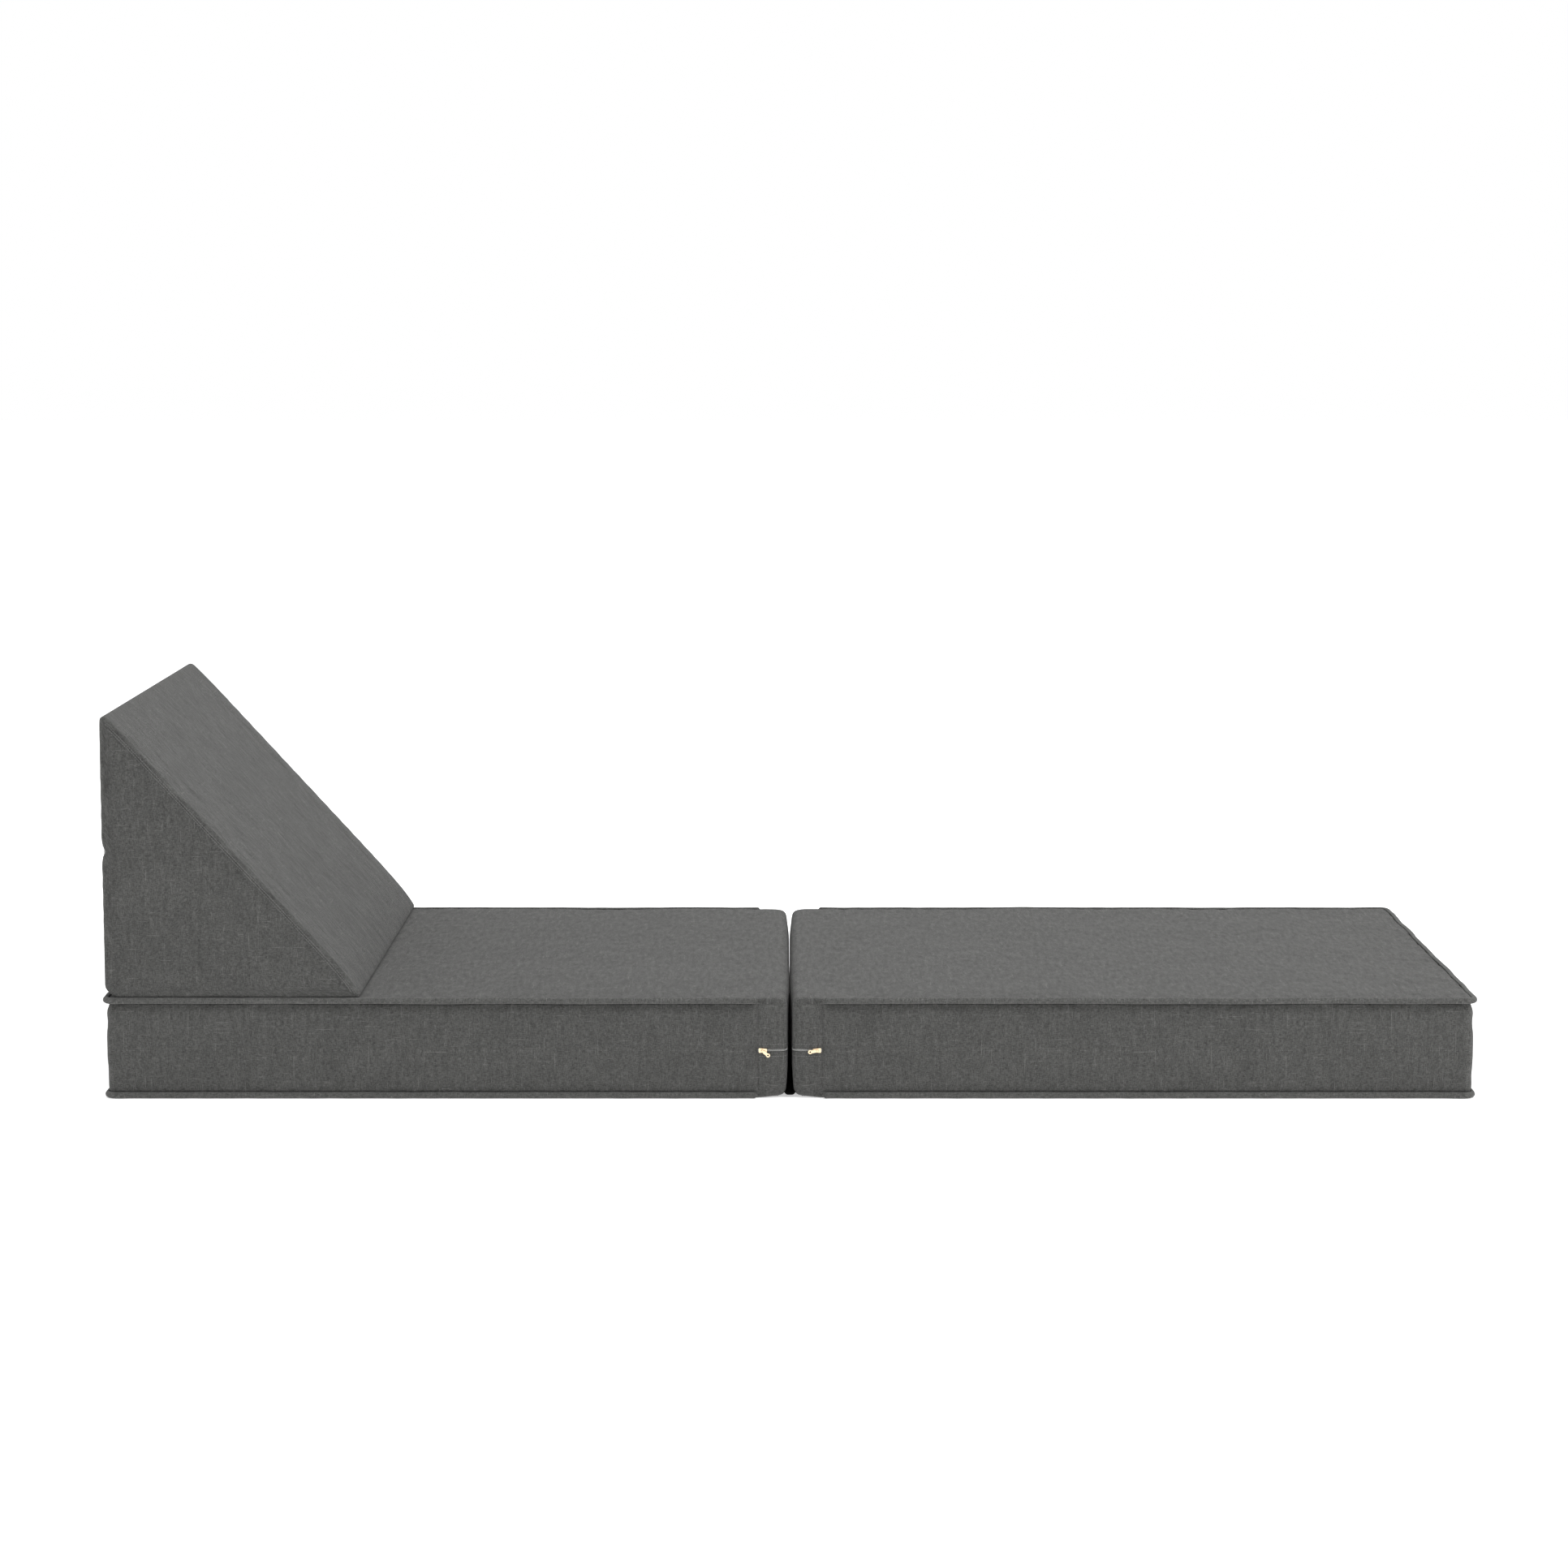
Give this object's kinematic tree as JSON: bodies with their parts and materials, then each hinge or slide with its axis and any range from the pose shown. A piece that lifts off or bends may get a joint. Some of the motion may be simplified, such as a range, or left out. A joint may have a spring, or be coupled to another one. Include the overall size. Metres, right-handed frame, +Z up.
{
  "type": "futon sofa bed",
  "caption": "Floor futon sofa bed: foam panels in zip-off covers, joined by a cloth hinge, with a foam wedge backrest.",
  "frame": {"origin": "on the floor, at the middle of the cloth hinge, which is the middle of the whole length", "axes": "+X towards the foot end, +Y towards the far side, away from the panels' zip sliders, +Z up"},
  "size_m": [1.93, 0.8, 0.539],
  "materials": {
    "cover_fabric": "matte",
    "welt_fabric": "matte",
    "foam": "matte",
    "liner": "matte",
    "hinge_cloth": "matte",
    "hook_and_loop": "matte",
    "zip_tape": "matte",
    "zip_coil": "satin",
    "pale_gold_metal": "satin"
  },
  "bodies": {
    "head_panel": {"head_foam_core": "foam", "head_inner_liner": "liner", "head_cover_top": "cover_fabric", "head_cover_bottom": "cover_fabric", "head_cover_band": "cover_fabric", "head_gusset_upper": "cover_fabric", "head_gusset_lower": "cover_fabric", "head_welt_top": "welt_fabric", "head_welt_bottom": "welt_fabric", "head_zip_tape_upper": "zip_tape", "head_zip_tape_lower": "zip_tape", "head_zip_coil": "zip_coil", "head_zip_stops": "pale_gold_metal", "head_hinge_flap": "hinge_cloth", "head_loop_strips": "hook_and_loop"},
    "foot_panel": {"foot_foam_core": "foam", "foot_inner_liner": "liner", "foot_cover_top": "cover_fabric", "foot_cover_bottom": "cover_fabric", "foot_cover_band": "cover_fabric", "foot_gusset_upper": "cover_fabric", "foot_gusset_lower": "cover_fabric", "foot_welt_top": "welt_fabric", "foot_welt_bottom": "welt_fabric", "foot_zip_tape_upper": "zip_tape", "foot_zip_tape_lower": "zip_tape", "foot_zip_coil": "zip_coil", "foot_zip_stops": "pale_gold_metal", "foot_hinge_flap": "hinge_cloth"},
    "wedge": {"wedge_foam_core": "foam", "wedge_inner_liner": "liner", "wedge_cover_slope": "cover_fabric", "wedge_cover_rear_lower": "cover_fabric", "wedge_cover_base": "cover_fabric", "wedge_side_near": "cover_fabric", "wedge_side_far": "cover_fabric", "wedge_zip_tape_upper": "zip_tape", "wedge_zip_tape_lower": "zip_tape", "wedge_zip_coil": "zip_coil", "wedge_zip_stops": "pale_gold_metal", "wedge_hook_strips": "hook_and_loop"},
    "head_zip_slider": {"head_zip_slider": "pale_gold_metal"},
    "head_zip_pull": {"head_zip_pull": "pale_gold_metal"},
    "foot_zip_slider": {"foot_zip_slider": "pale_gold_metal"},
    "foot_zip_pull": {"foot_zip_pull": "pale_gold_metal"},
    "wedge_zip_slider": {"wedge_zip_slider": "pale_gold_metal"},
    "wedge_zip_pull": {"wedge_zip_pull": "pale_gold_metal"}
  },
  "joints": [
    {"name": "panel_fold", "type": "hinge", "parent": "head_panel", "child": "foot_panel", "pos_m": [0, 0, -0.0002], "axis": [0, 1, 0], "range_deg": [0, 180]},
    {"name": "wedge_lift", "type": "slide", "parent": "head_panel", "child": "wedge", "axis": [0, 0, 1], "range_m": [0, 0.3]},
    {"name": "head_zip_run", "type": "slide", "parent": "head_panel", "child": "head_zip_slider", "axis": [1, 0, 0], "range_m": [0, 0.0129]},
    {"name": "foot_zip_run", "type": "slide", "parent": "foot_panel", "child": "foot_zip_slider", "axis": [-1, 0, 0], "range_m": [0, 0.0129]},
    {"name": "wedge_zip_run", "type": "slide", "parent": "wedge", "child": "wedge_zip_slider", "axis": [0, -1, 0], "range_m": [0, 0.77]},
    {"name": "head_pull_swing", "type": "hinge", "parent": "head_zip_slider", "child": "head_zip_pull", "pos_m": [-0.039, -0.3979, 0.069], "axis": [-0.6293, 0, -0.7771], "range_deg": [0, 160]},
    {"name": "foot_pull_swing", "type": "hinge", "parent": "foot_zip_slider", "child": "foot_zip_pull", "pos_m": [0.039, -0.3979, 0.069], "axis": [-0.1736, 0, 0.9848], "range_deg": [0, 160]},
    {"name": "wedge_pull_swing", "type": "hinge", "parent": "wedge_zip_slider", "child": "wedge_zip_pull", "pos_m": [-0.9624, 0.3865, 0.351], "axis": [0, 1, 0], "range_deg": [0, 160]}
  ]
}
